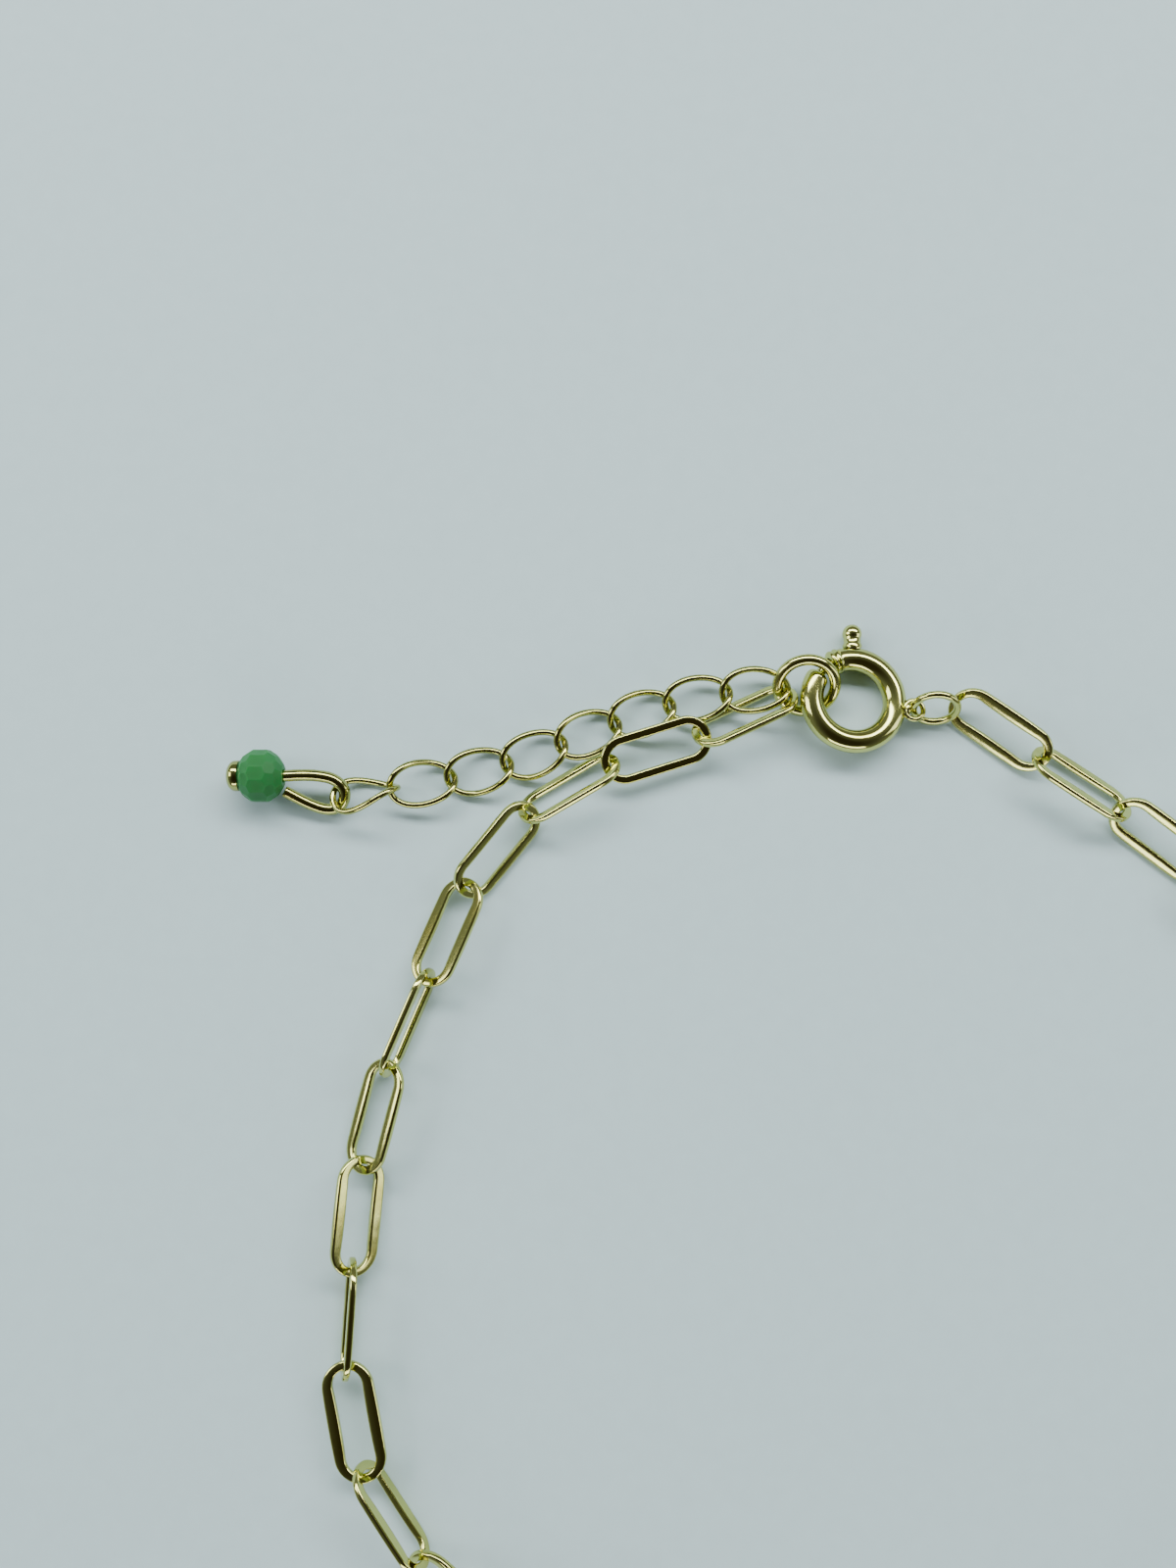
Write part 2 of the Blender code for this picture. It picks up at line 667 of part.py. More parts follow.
def main():
    for leftover in list(bpy.data.objects):
        bpy.data.objects.remove(leftover, do_unlink=True)
    gold = make_material("champagne_gold", GOLD, 0.18, 1.0)
    green = make_material("emerald_green", EMERALD, 0.30, 0.0)
    build_chain(gold)
    build_extender(gold)
    build_end_ring(gold)
    build_jump_ring(gold)
    build_clasp_ring(gold)
    build_clasp_gate(gold)
    build_eye_pin(gold)
    build_bead(green)
    settle()


main()
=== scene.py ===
"""Emerald bracelet laid fastened on a pale surface: flat paperclip links, a spring ring clasp, an
oval link extender, and a faceted green bead on an eye pin. Metres, +Z up."""
import json
import math
import random

import bmesh
import bpy
import numpy as np
from bpy.props import FloatProperty, FloatVectorProperty, IntProperty, PointerProperty
from mathutils import Matrix, Vector


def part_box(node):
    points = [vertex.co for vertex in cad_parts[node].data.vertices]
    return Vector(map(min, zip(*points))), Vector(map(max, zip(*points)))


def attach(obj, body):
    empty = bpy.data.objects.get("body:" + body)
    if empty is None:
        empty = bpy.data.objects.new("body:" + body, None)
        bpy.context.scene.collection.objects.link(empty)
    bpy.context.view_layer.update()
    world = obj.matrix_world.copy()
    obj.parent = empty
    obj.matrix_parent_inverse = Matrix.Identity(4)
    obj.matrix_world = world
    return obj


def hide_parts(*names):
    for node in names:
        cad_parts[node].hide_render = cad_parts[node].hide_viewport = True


bl_info = {
    "name": "Emerald Bracelet",
    "version": (1, 0, 0),
    "blender": (4, 5, 0),
    "location": "View3D > Sidebar > Bracelet",
    "description": "Paperclip chain bracelet with a spring ring clasp and a faceted green bead",
    "category": "Add Mesh",
}

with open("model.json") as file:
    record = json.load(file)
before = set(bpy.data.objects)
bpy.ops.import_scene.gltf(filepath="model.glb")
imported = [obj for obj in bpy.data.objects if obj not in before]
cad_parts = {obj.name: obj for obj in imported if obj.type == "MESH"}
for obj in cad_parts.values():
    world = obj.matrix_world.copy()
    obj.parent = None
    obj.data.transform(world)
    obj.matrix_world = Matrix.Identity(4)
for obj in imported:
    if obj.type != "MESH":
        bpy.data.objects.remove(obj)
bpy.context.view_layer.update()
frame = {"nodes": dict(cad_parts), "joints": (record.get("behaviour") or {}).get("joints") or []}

MM = 0.001
CHAIN_NODES = sorted(name for name in frame["nodes"] if name.startswith("chain_link_"))
EXTENDER_NODES = sorted(name for name in frame["nodes"] if name.startswith("extender_link_"))
GATE_JOINT = frame["joints"][0]
UP = Vector((0, 0, 1))
# Edges that bend more than this, in degrees, stay crisp
SHARP_EDGE = 35.0

# Paperclip links: how much their sides are pressed wider and bowed out. The first ones, at the
# end ring, lie too close to each other for it.
CROWDED_LINKS = 4
PRESSED = 0.18 * MM
PRESSED_CROWDED = 0.03 * MM
BOWED = 0.035 * MM
# How the pressing fades towards the bends, and its shares that go inwards and into thickness
PRESS_FADE = 2.2
PRESS_INWARDS = 0.22
PRESS_THICKER = 0.10
BEND_STEPS = 24
SIDE_STEPS = 10
OVAL_STEPS = 72

# Clasp's mouth and slot, in degrees round the clasp, and where the tongue starts and ends
MOUTH_START = 120.5
MOUTH_END = 143.0
SLOT_START = 50.5
SLOT_END = 94.5
SLOT_HALF_WIDTH = 0.2 * MM
TONGUE_START = 62.0
TONGUE_END = 149.0
TONGUE_STEPS = 60
TONGUE_ROUNDING = 0.09 * MM
TUBE_SIDES = 32
# Degrees across the tube where the outer wall's columns stand, and where they are gathered to,
# so that the slot's two walls are equally wide
GATHERED = ((0, 28.125, 90, 180), (0, 17.5, 90, 180))
# Ridged collar before the mouth: degrees before it, share of the tube's radius
COLLAR = ((-13.0, 1.0), (-12.2, 1.01), (-11.4, 1.08), (-10.2, 1.10), (-8.8, 1.09), (-8.0, 1.02),
          (-7.3, 0.97), (-6.3, 0.97), (-5.6, 1.02), (-4.8, 1.07), (-3.4, 1.08), (-2.2, 1.05),
          (-1.0, 0.97), (0.0, 0.84))
# Rounded lip past the mouth: degrees past it, share of the tube's radius
LIP = ((0.0, 0.70), (0.6, 0.79), (1.4, 0.86), (2.6, 0.92), (4.4, 0.97), (7.0, 1.0))
# Clasp's eye, soldered on low beside the tube's middle, and its drop of solder
EYE_ANGLE = -9.5
EYE_HEIGHT = 0.32 * MM
EYE_SUNK = 0.15 * MM
SOLDER_SIZE = (0.42 * MM, 0.86 * MM, 0.46 * MM)
SOLDER_HEIGHT = 0.30 * MM
SOLDER_OUT = 0.02 * MM
# Thumb knob: its place round the clasp, the reach past which the gate is its knob, its neck's
# radius and the share of the knob that counts as neck, the foot's gap above the tube, and the
# height over which the foot follows the tube
KNOB_ANGLE = 88.5
KNOB_REACH = 3.3 * MM
KNOB_NECK = 0.13 * MM
NECK_SHARE = 0.3
FOOT_GAP = 0.015 * MM
FOOT_HEIGHT = 0.2 * MM
# Knob's foot and waist: mm above the tube, share of the ball's radius
KNOB_FOOT = ((0.0, 0.86), (0.01, 0.94), (0.05, 0.99), (0.12, 1.0), (0.18, 0.97), (0.22, 0.91),
             (0.28, 0.885))
# Knob's ball, from this many degrees round its side up to its top
BALL_START = -30
BALL_STEPS = 14
# Eye pin's domed head: share of its thickness, share of its radius
PIN_HEAD = ((0.0, 0.0), (0.0, 0.20), (0.04, 0.38), (0.14, 0.60), (0.28, 0.78), (0.46, 0.91),
            (0.64, 0.98), (0.80, 1.0), (1.16, 1.0), (1.20, 0.985), (1.21, 0.955), (1.0, 0.71),
            (1.0, 0.5))
# Eye pin's teardrop loop in mm, from the bead's face round to its cut end
PIN_LOOP = ((0.05, 0.0), (0.75, 0.04), (1.75, 0.02), (2.65, -0.18), (3.19, -0.68), (3.25, -1.3),
            (2.9, -1.84), (2.2, -1.96), (1.25, -1.62), (-0.03, -0.89))
# Steps of the pin's wire from each of those points to the next
PIN_STEPS = 8
PIN_ROUNDING = 0.07 * MM
HEAD_GAP = 0.04 * MM
# Bead's rows of facets: slope along its hole, rise off it, distance from its middle in mm
BEAD_BELT = (0.0, 1.0, 1.4006)
BEAD_SHOULDER = (0.551, 0.835, 1.417)
BEAD_CROWN = (0.827, 0.563, 1.377)
BEAD_EDGE = 0.022 * MM
HOLE_RIM = 0.05 * MM

# Lights: offset from the middle of the view, size, power in watts, colour
LIGHTS = {
    "window_light": ((0.03, 0.27, 0.34), (0.9, 0.11), 4.3, (0.98, 1.0, 0.97)),
    "left_light": ((-0.44, 0.06, 0.28), (0.20, 0.32), 1.2, (0.98, 1.0, 0.97)),
    "right_light": ((0.46, -0.04, 0.16), (0.14, 0.30), 0.35, (0.97, 1.0, 1.0)),
    "front_light": ((0.02, -0.44, 0.14), (0.50, 0.10), 0.9, (1.0, 1.0, 0.98)),
}
# Room round the object: the direction of its darkest part, and its tones from pale to dark
ROOM_DARK_SIDE = (0.10, -0.50, 0.86)
ROOM_TONES = ((0.44, (0.22, 0.245, 0.230, 1.0)), (0.94, (0.036, 0.030, 0.018, 1.0)))
ROOM_STRENGTH = 0.9


# Finishes

class Signal:
    """An output inside a finish. Sums written with it become Math nodes."""

    def __init__(self, finish, socket):
        self.finish = finish
        self.socket = socket

    def maths(self, operation, first, second, clamp=False):
        settings = {"operation": operation, "use_clamp": clamp}
        return self.finish.node("ShaderNodeMath", settings, {0: first, 1: second})

    def __add__(self, other):
        return self.maths("ADD", self, other)

    def __radd__(self, other):
        return self.maths("ADD", other, self)

    def __sub__(self, other):
        return self.maths("SUBTRACT", self, other)

    def __rsub__(self, other):
        return self.maths("SUBTRACT", other, self)

    def __mul__(self, other):
        return self.maths("MULTIPLY", self, other)

    def __rmul__(self, other):
        return self.maths("MULTIPLY", other, self)

    def clamped(self):
        return self.maths("ADD", self, 0.0, clamp=True)


class Finish:
    """Nodes under construction, on the shader of a material or of the world."""

    def __init__(self, owner, shader="Principled BSDF"):
        owner.use_nodes = True
        self.owner = owner
        self.tree = owner.node_tree
        self.shader = self.tree.nodes[shader]

    def node(self, kind, settings=None, inputs=None, output=0):
        """Add a node: its settings first, then a value or a link for each of its sockets."""
        made = self.tree.nodes.new(kind)
        for setting, value in (settings or {}).items():
            if setting == "stops":
                self.set_stops(made.color_ramp, value)
            else:
                setattr(made, setting, value)
        for socket, value in (inputs or {}).items():
            if isinstance(value, Signal):
                self.tree.links.new(value.socket, made.inputs[socket])
            else:
                made.inputs[socket].default_value = value
        return Signal(self, made.outputs[output])

    def set_stops(self, ramp, stops):
        while len(ramp.elements) < len(stops):
            ramp.elements.new(0.5)
        for element, (position, colour) in zip(ramp.elements, stops):
            element.position = position
            element.color = colour

    def place(self, scale=(1.0, 1.0, 1.0), turn=(0.0, 0.0, 0.0)):
        """Object coordinates, turned and stretched."""
        here = self.node("ShaderNodeTexCoord", output="Object")
        return self.node("ShaderNodeMapping", None, {"Vector": here, "Scale": scale, "Rotation": turn})

    def noise(self, where, scale, detail=2.0, roughness=0.5):
        inputs = {"Vector": where, "Scale": scale, "Detail": detail, "Roughness": roughness}
        return self.node("ShaderNodeTexNoise", None, inputs)

    def blend_colours(self, share, first, second):
        inputs = {0: share, 6: first, 7: second}
        return self.node("ShaderNodeMix", {"data_type": "RGBA"}, inputs, output=2)

    def set(self, values):
        """Set or link the shader's own sockets."""
        for socket, value in values.items():
            if isinstance(value, Signal):
                self.tree.links.new(value.socket, self.shader.inputs[socket])
            else:
                self.shader.inputs[socket].default_value = value


def polished_gold(name, colour, dulled):
    """Polished pale gold, with fine polishing lines, soft dents and a trace of tarnish."""
    finish = Finish(bpy.data.materials.new(name))
    here = finish.place()
    brushed = finish.place(scale=(1.0, 5.0, 2.0), turn=(0.4, 0.2, 0.7))
    lines = finish.noise(brushed, scale=5200.0, detail=3.0, roughness=0.6)
    dents = finish.noise(here, scale=1400.0, detail=1.5, roughness=0.45)
    tone = finish.noise(here, scale=420.0, detail=3.0, roughness=0.55)
    tarnish = ((tone - 0.52) * 3.2).clamped()
    base = finish.blend_colours(tarnish, tuple(colour), tuple(dulled))
    relief = finish.node("ShaderNodeBump", None, {
        "Strength": 0.55, "Distance": 0.0000075, "Height": dents * 0.8 + lines * 0.2})
    finish.set({"Base Color": base, "Metallic": 1.0, "Normal": relief,
                "Roughness": 0.085 + lines * 0.05 + tarnish * 0.07})
    finish.owner.diffuse_color = tuple(colour)
    return finish.owner


def emerald_stone():
    """Milky emerald-green stone: cloudy patches, pale veils and a soft polish."""
    colours = bpy.context.scene.bracelet_finishes
    finish = Finish(bpy.data.materials.new("emerald_stone"))
    here = finish.place()
    layered = finish.place(scale=(1.0, 2.4, 1.3), turn=(0.6, 0.3, 0.9))
    clouds = finish.noise(here, scale=480.0, roughness=0.45)
    veils = finish.noise(layered, scale=900.0, roughness=0.45)
    grain = finish.noise(here, scale=6200.0)
    cloud_share = ((clouds - 0.35) * 2.2).clamped()
    veil_share = ((veils - 0.55) * 2.6).clamped()
    body = finish.blend_colours(cloud_share, tuple(colours.stone), tuple(colours.stone_light))
    body = finish.blend_colours(veil_share * 0.22, body, tuple(colours.stone_veil))
    relief = finish.node("ShaderNodeBump", None, {
        "Strength": 0.15, "Distance": 0.000001, "Height": grain})
    finish.set({"Base Color": body, "Metallic": 0.0, "Normal": relief,
                "Roughness": 0.40 + veil_share * 0.06 + grain * 0.03,
                "IOR": 1.55, "Specular IOR Level": 0.22, "Subsurface Weight": 1.0,
                "Subsurface Scale": 1.7 * MM, "Subsurface Radius": (0.35, 1.0, 0.5)})
    finish.owner.diffuse_color = tuple(colours.stone)
    return finish.owner


def pale_surface():
    """Plain pale floor with a hint of grain."""
    colours = bpy.context.scene.bracelet_finishes
    finish = Finish(bpy.data.materials.new("pale_surface"))
    grain = finish.noise(finish.place(), scale=900.0, detail=3.0, roughness=0.6)
    base = finish.blend_colours(grain, tuple(colours.floor), tuple(colours.floor_shade))
    finish.set({"Base Color": base, "Roughness": 0.82})
    return finish.owner


def shared_finish(name, make):
    """The finish of that name, made when a piece first asks for it."""
    return bpy.data.materials.get(name) or make()


def gold():
    colours = bpy.context.scene.bracelet_finishes
    return shared_finish("champagne_gold",
                         lambda: polished_gold("champagne_gold", colours.gold, colours.gold_tarnish))


def shade_darkened_gold():
    """The extender's thin wire and the eye pin's gold: the same gold, made slightly darker as painted
    shade.
    """
    colours = bpy.context.scene.bracelet_finishes
    return shared_finish("extender_gold",
                         lambda: polished_gold("extender_gold", colours.shade_darkened_gold, colours.gold_tarnish))


# Places, read from the frame

def node_matrix(name):
    """Placement of a CAD piece: X along its longest spread, Z across its flat side."""
    corners = np.array([tuple(vertex.co) for vertex in frame["nodes"][name].data.vertices])
    corners = np.unique(corners.round(8), axis=0)
    middle = corners.mean(axis=0)
    axes = np.linalg.eigh(np.cov((corners - middle).T))[1]
    along = Vector(axes[:, 2])
    normal = Vector(axes[:, 0])
    if normal.z < 0:
        normal = -normal
    turned = Matrix((along, normal.cross(along), normal)).transposed().to_4x4()
    return Matrix.Translation(Vector(middle)) @ turned


def clasp_matrix():
    """Placement of the clasp: Z along the gate's axis, angles counted from the knob."""
    centre = Vector(GATE_JOINT["pos_m"])
    normal = -Vector(GATE_JOINT["axis"]).normalized()
    reach = [vertex.co - centre for vertex in frame["nodes"]["clasp_gate"].data.vertices]
    out = sum((r for r in reach if r.length > KNOB_REACH), Vector())
    knob = (out - normal * out.dot(normal)).normalized()
    start = Matrix.Rotation(math.radians(-KNOB_ANGLE), 3, normal) @ knob
    turned = Matrix((start, normal.cross(start), normal)).transposed().to_4x4()
    return Matrix.Translation(centre) @ turned


def bead_centre():
    low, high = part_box("emerald_bead")
    return (low + high) / 2


# Mesh making

def polar(angle, radius=1.0):
    """Point in a level plane at an angle in degrees."""
    turn = math.radians(angle)
    return Vector((math.cos(turn), math.sin(turn), 0.0)) * radius


def placement(place, out, up):
    """Placement of a section: X outwards, Y up, Z along the wire."""
    turned = Matrix((out, up, out.cross(up))).transposed().to_4x4()
    return Matrix.Translation(place) @ turned


def standing_at(angle, radius):
    """Placement of a section that stands across a round wire at an angle."""
    return placement(polar(angle, radius), polar(angle), UP)


def once_each(parts):
    """Each part of a mesh once, in the order in which it first comes."""
    return list(dict.fromkeys(parts))


def round_section(bm, radius, sides, where):
    made = bmesh.ops.create_circle(bm, segments=sides, radius=radius, matrix=where)
    return once_each(edge for vertex in made["verts"] for edge in vertex.link_edges)


def flat_section(bm, width, thickness, soft, where):
    """Flattened wire with softened corners."""
    corners = [bm.verts.new((across * width / 2, along * thickness / 2, 0))
               for across, along in ((1, 1), (-1, 1), (-1, -1), (1, -1))]
    bm.faces.new(corners)
    bmesh.ops.bevel(bm, geom=corners, offset=soft, offset_type="OFFSET", affect="VERTICES",
                    segments=4, profile=0.5, material=-1)
    bmesh.ops.transform(bm, matrix=where, verts=bm.verts)
    edges = list(bm.edges)
    bmesh.ops.delete(bm, geom=list(bm.faces), context="FACES_ONLY")
    return edges


def sweep(bm, edges, places, closed=False):
    """Carry a section's edges from place to place; returns the edges at both ends."""
    first = list(edges)
    for before, after in zip(places, places[1:]):
        made = bmesh.ops.extrude_edge_only(bm, edges=edges)["geom"]
        edges = [part for part in made if isinstance(part, bmesh.types.BMEdge)]
        moved = [part for part in made if isinstance(part, bmesh.types.BMVert)]
        bmesh.ops.transform(bm, matrix=after @ before.inverted(), verts=moved)
    if closed:
        bmesh.ops.bridge_loops(bm, edges=first + edges)
    return first, edges


def rounded_end(bm, edges, soft):
    """Close an open end and soften its rim."""
    made = bmesh.ops.contextual_create(bm, geom=edges)
    rim = [edge for face in made["faces"] for edge in face.edges]
    bmesh.ops.bevel(bm, geom=rim, offset=soft, offset_type="OFFSET", affect="EDGES",
                    segments=3, profile=0.5, material=-1)


def round_ring(bm, diameter, wire, steps=96, sides=20):
    middle = (diameter - wire) / 2
    edges = round_section(bm, wire / 2, sides, standing_at(0, middle))
    verts = once_each(vertex for edge in edges for vertex in edge.verts)
    bmesh.ops.spin(bm, geom=verts + edges, cent=(0, 0, 0), axis=(0, 0, 1), dvec=(0, 0, 0),
                   angle=math.tau, steps=steps, use_merge=True, use_duplicate=False)


def turned_piece(profile, sides=48):
    """Turn a profile of (along, radius) round the X axis."""
    bm = bmesh.new()
    points = [bm.verts.new((along, 0, radius)) for along, radius in profile]
    edges = [bm.edges.new(pair) for pair in zip(points, points[1:])]
    bmesh.ops.spin(bm, geom=points + edges, cent=(0, 0, 0), axis=(1, 0, 0), dvec=(0, 0, 0),
                   angle=math.tau, steps=sides, use_merge=True, use_duplicate=False)
    return bm


def take_in(bm, other):
    """Move another mesh's forms into this one."""
    made = bpy.data.meshes.new("taken_in")
    other.to_mesh(made)
    other.free()
    bm.from_mesh(made)
    bpy.data.meshes.remove(made)


def smooth_path(points, steps):
    """Smooth curve through the points, as a dense list."""
    dense = []
    padded = [2 * points[0] - points[1]] + points + [2 * points[-1] - points[-2]]
    for before, here, there, after in zip(padded, padded[1:], padded[2:], padded[3:]):
        for step in range(steps):
            t = step / steps
            dense.append(0.5 * (2 * here + (there - before) * t
                                + (2 * before - 5 * here + 4 * there - after) * t ** 2
                                + (3 * here - before - 3 * there + after) * t ** 3))
    dense.append(points[-1])
    return dense


def share_at(table, past):
    """Share at a place, straight between the rows of a table of (degrees, share)."""
    degrees = [row[0] for row in table]
    shares = [row[1] for row in table]
    return float(np.interp(past, degrees, shares))


def turn_outwards(bm):
    """Reverse each closed shell that holds less than no space, because its faces point inwards."""
    waiting = dict.fromkeys(bm.faces)
    while waiting:
        shell = [waiting.popitem()[0]]
        for face in shell:
            for edge in face.edges:
                for other in edge.link_faces:
                    if other in waiting:
                        del waiting[other]
                        shell.append(other)
        space = 0.0
        for face in shell:
            first, *rest = [vertex.co for vertex in face.verts]
            space += sum(first.dot(second.cross(third)) for second, third in zip(rest, rest[1:]))
        if space < 0:
            bmesh.ops.reverse_faces(bm, faces=shell)


def finish_piece(name, bm, where, material, body, node, smooth=True):
    """Put a modelled mesh in its place, dress it, and tie it to the frame."""
    bmesh.ops.remove_doubles(bm, verts=bm.verts, dist=0.0000005)
    bmesh.ops.recalc_face_normals(bm, faces=bm.faces)
    turn_outwards(bm)
    bmesh.ops.transform(bm, matrix=where, verts=bm.verts)
    mesh = bpy.data.meshes.new(name)
    bm.to_mesh(mesh)
    bm.free()
    if smooth:
        mesh.shade_smooth()
        mesh.set_sharp_from_angle(angle=math.radians(SHARP_EDGE))
    mesh.materials.append(material)
    piece = bpy.data.objects.new(name, mesh)
    bpy.context.scene.collection.objects.link(piece)
    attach(piece, body)
    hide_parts(node)


# Sizes and colours

class ChainSizes(bpy.types.PropertyGroup):
    link_length: FloatProperty(name="Link Length", description="Paperclip link, end to end",
                               default=6.3 * MM, unit="LENGTH")
    link_width: FloatProperty(name="Link Width", description="Paperclip link, side to side",
                              default=2.7 * MM, unit="LENGTH")
    wire_width: FloatProperty(name="Wire Width", description="Flat wire, across the link",
                              default=0.48 * MM, unit="LENGTH")
    wire_thickness: FloatProperty(name="Wire Thickness", description="Flat wire, through the link",
                                  default=0.35 * MM, unit="LENGTH")
    wire_softness: FloatProperty(name="Wire Softness", description="Rounding of the flat wire's corners",
                                 default=0.11 * MM, unit="LENGTH")
    oval_length: FloatProperty(name="Extender Link Length", description="Oval link, end to end",
                               default=4.0 * MM, unit="LENGTH")
    oval_width: FloatProperty(name="Extender Link Width", description="Oval link, side to side",
                              default=2.7 * MM, unit="LENGTH")
    oval_wire: FloatProperty(name="Extender Wire", description="Round wire of the oval links",
                             default=0.36 * MM, unit="LENGTH")
    oval_twist: FloatProperty(name="Extender Twist", description="Rise and fall of an oval link's wire",
                              default=0.36 * MM, unit="LENGTH")


class ClaspSizes(bpy.types.PropertyGroup):
    diameter: FloatProperty(name="Clasp Diameter", description="Spring ring clasp, outside",
                            default=6.0 * MM, unit="LENGTH")
    tube: FloatProperty(name="Clasp Tube", description="Diameter of the clasp's tube",
                        default=1.3 * MM, unit="LENGTH")
    bore: FloatProperty(name="Clasp Bore", description="Inside diameter of the tube",
                        default=0.78 * MM, unit="LENGTH")
    tongue: FloatProperty(name="Tongue", description="Diameter of the gate's tongue",
                          default=0.56 * MM, unit="LENGTH")
    knob: FloatProperty(name="Knob", description="Diameter of the thumb knob",
                        default=1.08 * MM, unit="LENGTH")
    knob_height: FloatProperty(name="Knob Height", description="Height of the knob above the tube",
                               default=1.36 * MM, unit="LENGTH")
    end_ring: FloatProperty(name="End Ring", description="Ring that the clasp hooks on",
                            default=3.8 * MM, unit="LENGTH")
    end_ring_wire: FloatProperty(name="End Ring Wire", description="Wire of the end ring",
                                 default=0.63 * MM, unit="LENGTH")
    jump_ring: FloatProperty(name="Jump Ring", description="Ring between the clasp and the chain",
                             default=2.8 * MM, unit="LENGTH")
    jump_ring_wire: FloatProperty(name="Jump Ring Wire", description="Wire of the jump ring",
                                  default=0.42 * MM, unit="LENGTH")
    eye: FloatProperty(name="Eye", description="Eye soldered to the clasp",
                       default=1.36 * MM, unit="LENGTH")
    eye_wire: FloatProperty(name="Eye Wire", description="Wire of the eye",
                            default=0.3 * MM, unit="LENGTH")


class BeadSizes(bpy.types.PropertyGroup):
    length: FloatProperty(name="Bead Length", description="Bead along its hole",
                          default=2.5 * MM, unit="LENGTH")
    diameter: FloatProperty(name="Bead Diameter", description="Bead across its belt",
                            default=2.9 * MM, unit="LENGTH")
    facets: IntProperty(name="Facets", description="Facets round the bead's belt", default=12)
    hole: FloatProperty(name="Hole", description="Drilled hole", default=0.78 * MM, unit="LENGTH")
    pin_wire: FloatProperty(name="Pin Wire", description="Wire of the eye pin",
                            default=0.65 * MM, unit="LENGTH")
    pin_head: FloatProperty(name="Pin Head", description="Diameter of the pin's domed head",
                            default=1.68 * MM, unit="LENGTH")
    head_thickness: FloatProperty(name="Head Thickness", description="Thickness of the pin's head",
                                  default=0.58 * MM, unit="LENGTH")
    pin_droop: FloatProperty(name="Pin Droop", description="How far the pin's loop leans down",
                             default=math.radians(27.0), subtype="ANGLE", unit="ROTATION")


class Finishes(bpy.types.PropertyGroup):
    gold: FloatVectorProperty(name="Gold", description="Champagne gold", subtype="COLOR", size=4,
                              default=(0.58, 0.575, 0.19, 1.0))
    # Extender Gold: the gold made darker, as painted shade on the extender's thin wire and the eye pin
    shade_darkened_gold: FloatVectorProperty(name="Extender Gold", description="Extender's and eye pin's gold",
                                   subtype="COLOR", size=4, default=(0.42, 0.412, 0.132, 1.0))
    gold_tarnish: FloatVectorProperty(name="Gold Tarnish", description="Gold where it has dulled",
                                      subtype="COLOR", size=4, default=(0.42, 0.37, 0.085, 1.0))
    stone: FloatVectorProperty(name="Stone", description="Green of the bead", subtype="COLOR",
                               size=4, default=(0.014, 0.138, 0.033, 1.0))
    stone_light: FloatVectorProperty(name="Stone Clouds", description="Paler clouds in the bead",
                                     subtype="COLOR", size=4, default=(0.019, 0.156, 0.042, 1.0))
    stone_veil: FloatVectorProperty(name="Stone Veils", description="Milky veils in the bead",
                                    subtype="COLOR", size=4, default=(0.030, 0.170, 0.060, 1.0))
    floor: FloatVectorProperty(name="Floor", description="Pale floor", subtype="COLOR", size=4,
                               default=(0.50, 0.655, 0.70, 1.0))
    floor_shade: FloatVectorProperty(name="Floor Shade", description="Grain of the floor",
                                     subtype="COLOR", size=4, default=(0.46, 0.605, 0.65, 1.0))


class StageSettings(bpy.types.PropertyGroup):
    camera_distance: FloatProperty(name="Camera Distance", description="Camera to the surface",
                                   default=80.0 * MM, unit="LENGTH")
    camera_tilt: FloatProperty(name="Camera Tilt", description="Lean of the camera from straight down",
                               default=math.radians(6.0), subtype="ANGLE", unit="ROTATION")
    lens: FloatProperty(name="Lens", description="Focal length in millimetres", default=33.0)
    look_right: FloatProperty(name="Look Right", description="Middle of the view, right of the bead",
                              default=17.9 * MM, unit="LENGTH")
    look_up: FloatProperty(name="Look Up", description="Middle of the view, beyond the bead",
                           default=-0.3 * MM, unit="LENGTH")
    floor_size: FloatProperty(name="Floor Size", description="Side of the floor", default=4.0,
                              unit="LENGTH")


# Operators

class BRACELET_OT_chain_links(bpy.types.Operator):
    """Make the flat paperclip links of the chain"""
    bl_idname = "bracelet.chain_links"
    bl_label = "Chain Links"

    def execute(self, context):
        sizes = context.scene.bracelet_chain
        chance = random.Random(7)
        for index, name in enumerate(CHAIN_NODES):
            crowded = index < CROWDED_LINKS
            pressed = (PRESSED_CROWDED if crowded else PRESSED) * chance.uniform(0.8, 1.1)
            bow = (0.0 if crowded else BOWED) * chance.uniform(0.3, 1.3)
            places = self.link_places(sizes, pressed, bow)
            bm = bmesh.new()
            edges = flat_section(bm, sizes.wire_width, sizes.wire_thickness, sizes.wire_softness,
                                 places[0])
            sweep(bm, edges, places, closed=True)
            finish_piece(name + "_gold", bm, node_matrix(name), gold(), "bracelet", name)
        return {"FINISHED"}

    def link_places(self, sizes, pressed, bow):
        """Sections round a link: narrow at its ends, pressed wider along its sides."""
        bend = (sizes.link_width - sizes.wire_width) / 2
        straight = (sizes.link_length - sizes.link_width) / 2
        stops = []
        for end, start in ((1, -90), (-1, 90)):
            for step in range(BEND_STEPS + 1):
                out = polar(start + 180 / BEND_STEPS * step)
                stops.append((Vector((end * straight, 0, 0)) + out * bend, out))
            for step in range(1, SIDE_STEPS):
                along = straight * (end - 2 * end * step / SIDE_STEPS)
                stops.append((Vector((along, end * bend, 0)), Vector((0, end, 0))))
        places = []
        for place, out in stops:
            to_end = abs(place.x) / (sizes.link_length / 2 - sizes.wire_width)
            near_side = 1 - min(to_end, 1) ** PRESS_FADE
            wider = pressed * near_side
            shift = bow * near_side * abs(out.y) - wider * PRESS_INWARDS
            grown = Matrix.Diagonal((1 + wider / sizes.wire_width, 1 + PRESS_THICKER * near_side, 1, 1))
            places.append(placement(place + out * shift, out, UP) @ grown)
        return places


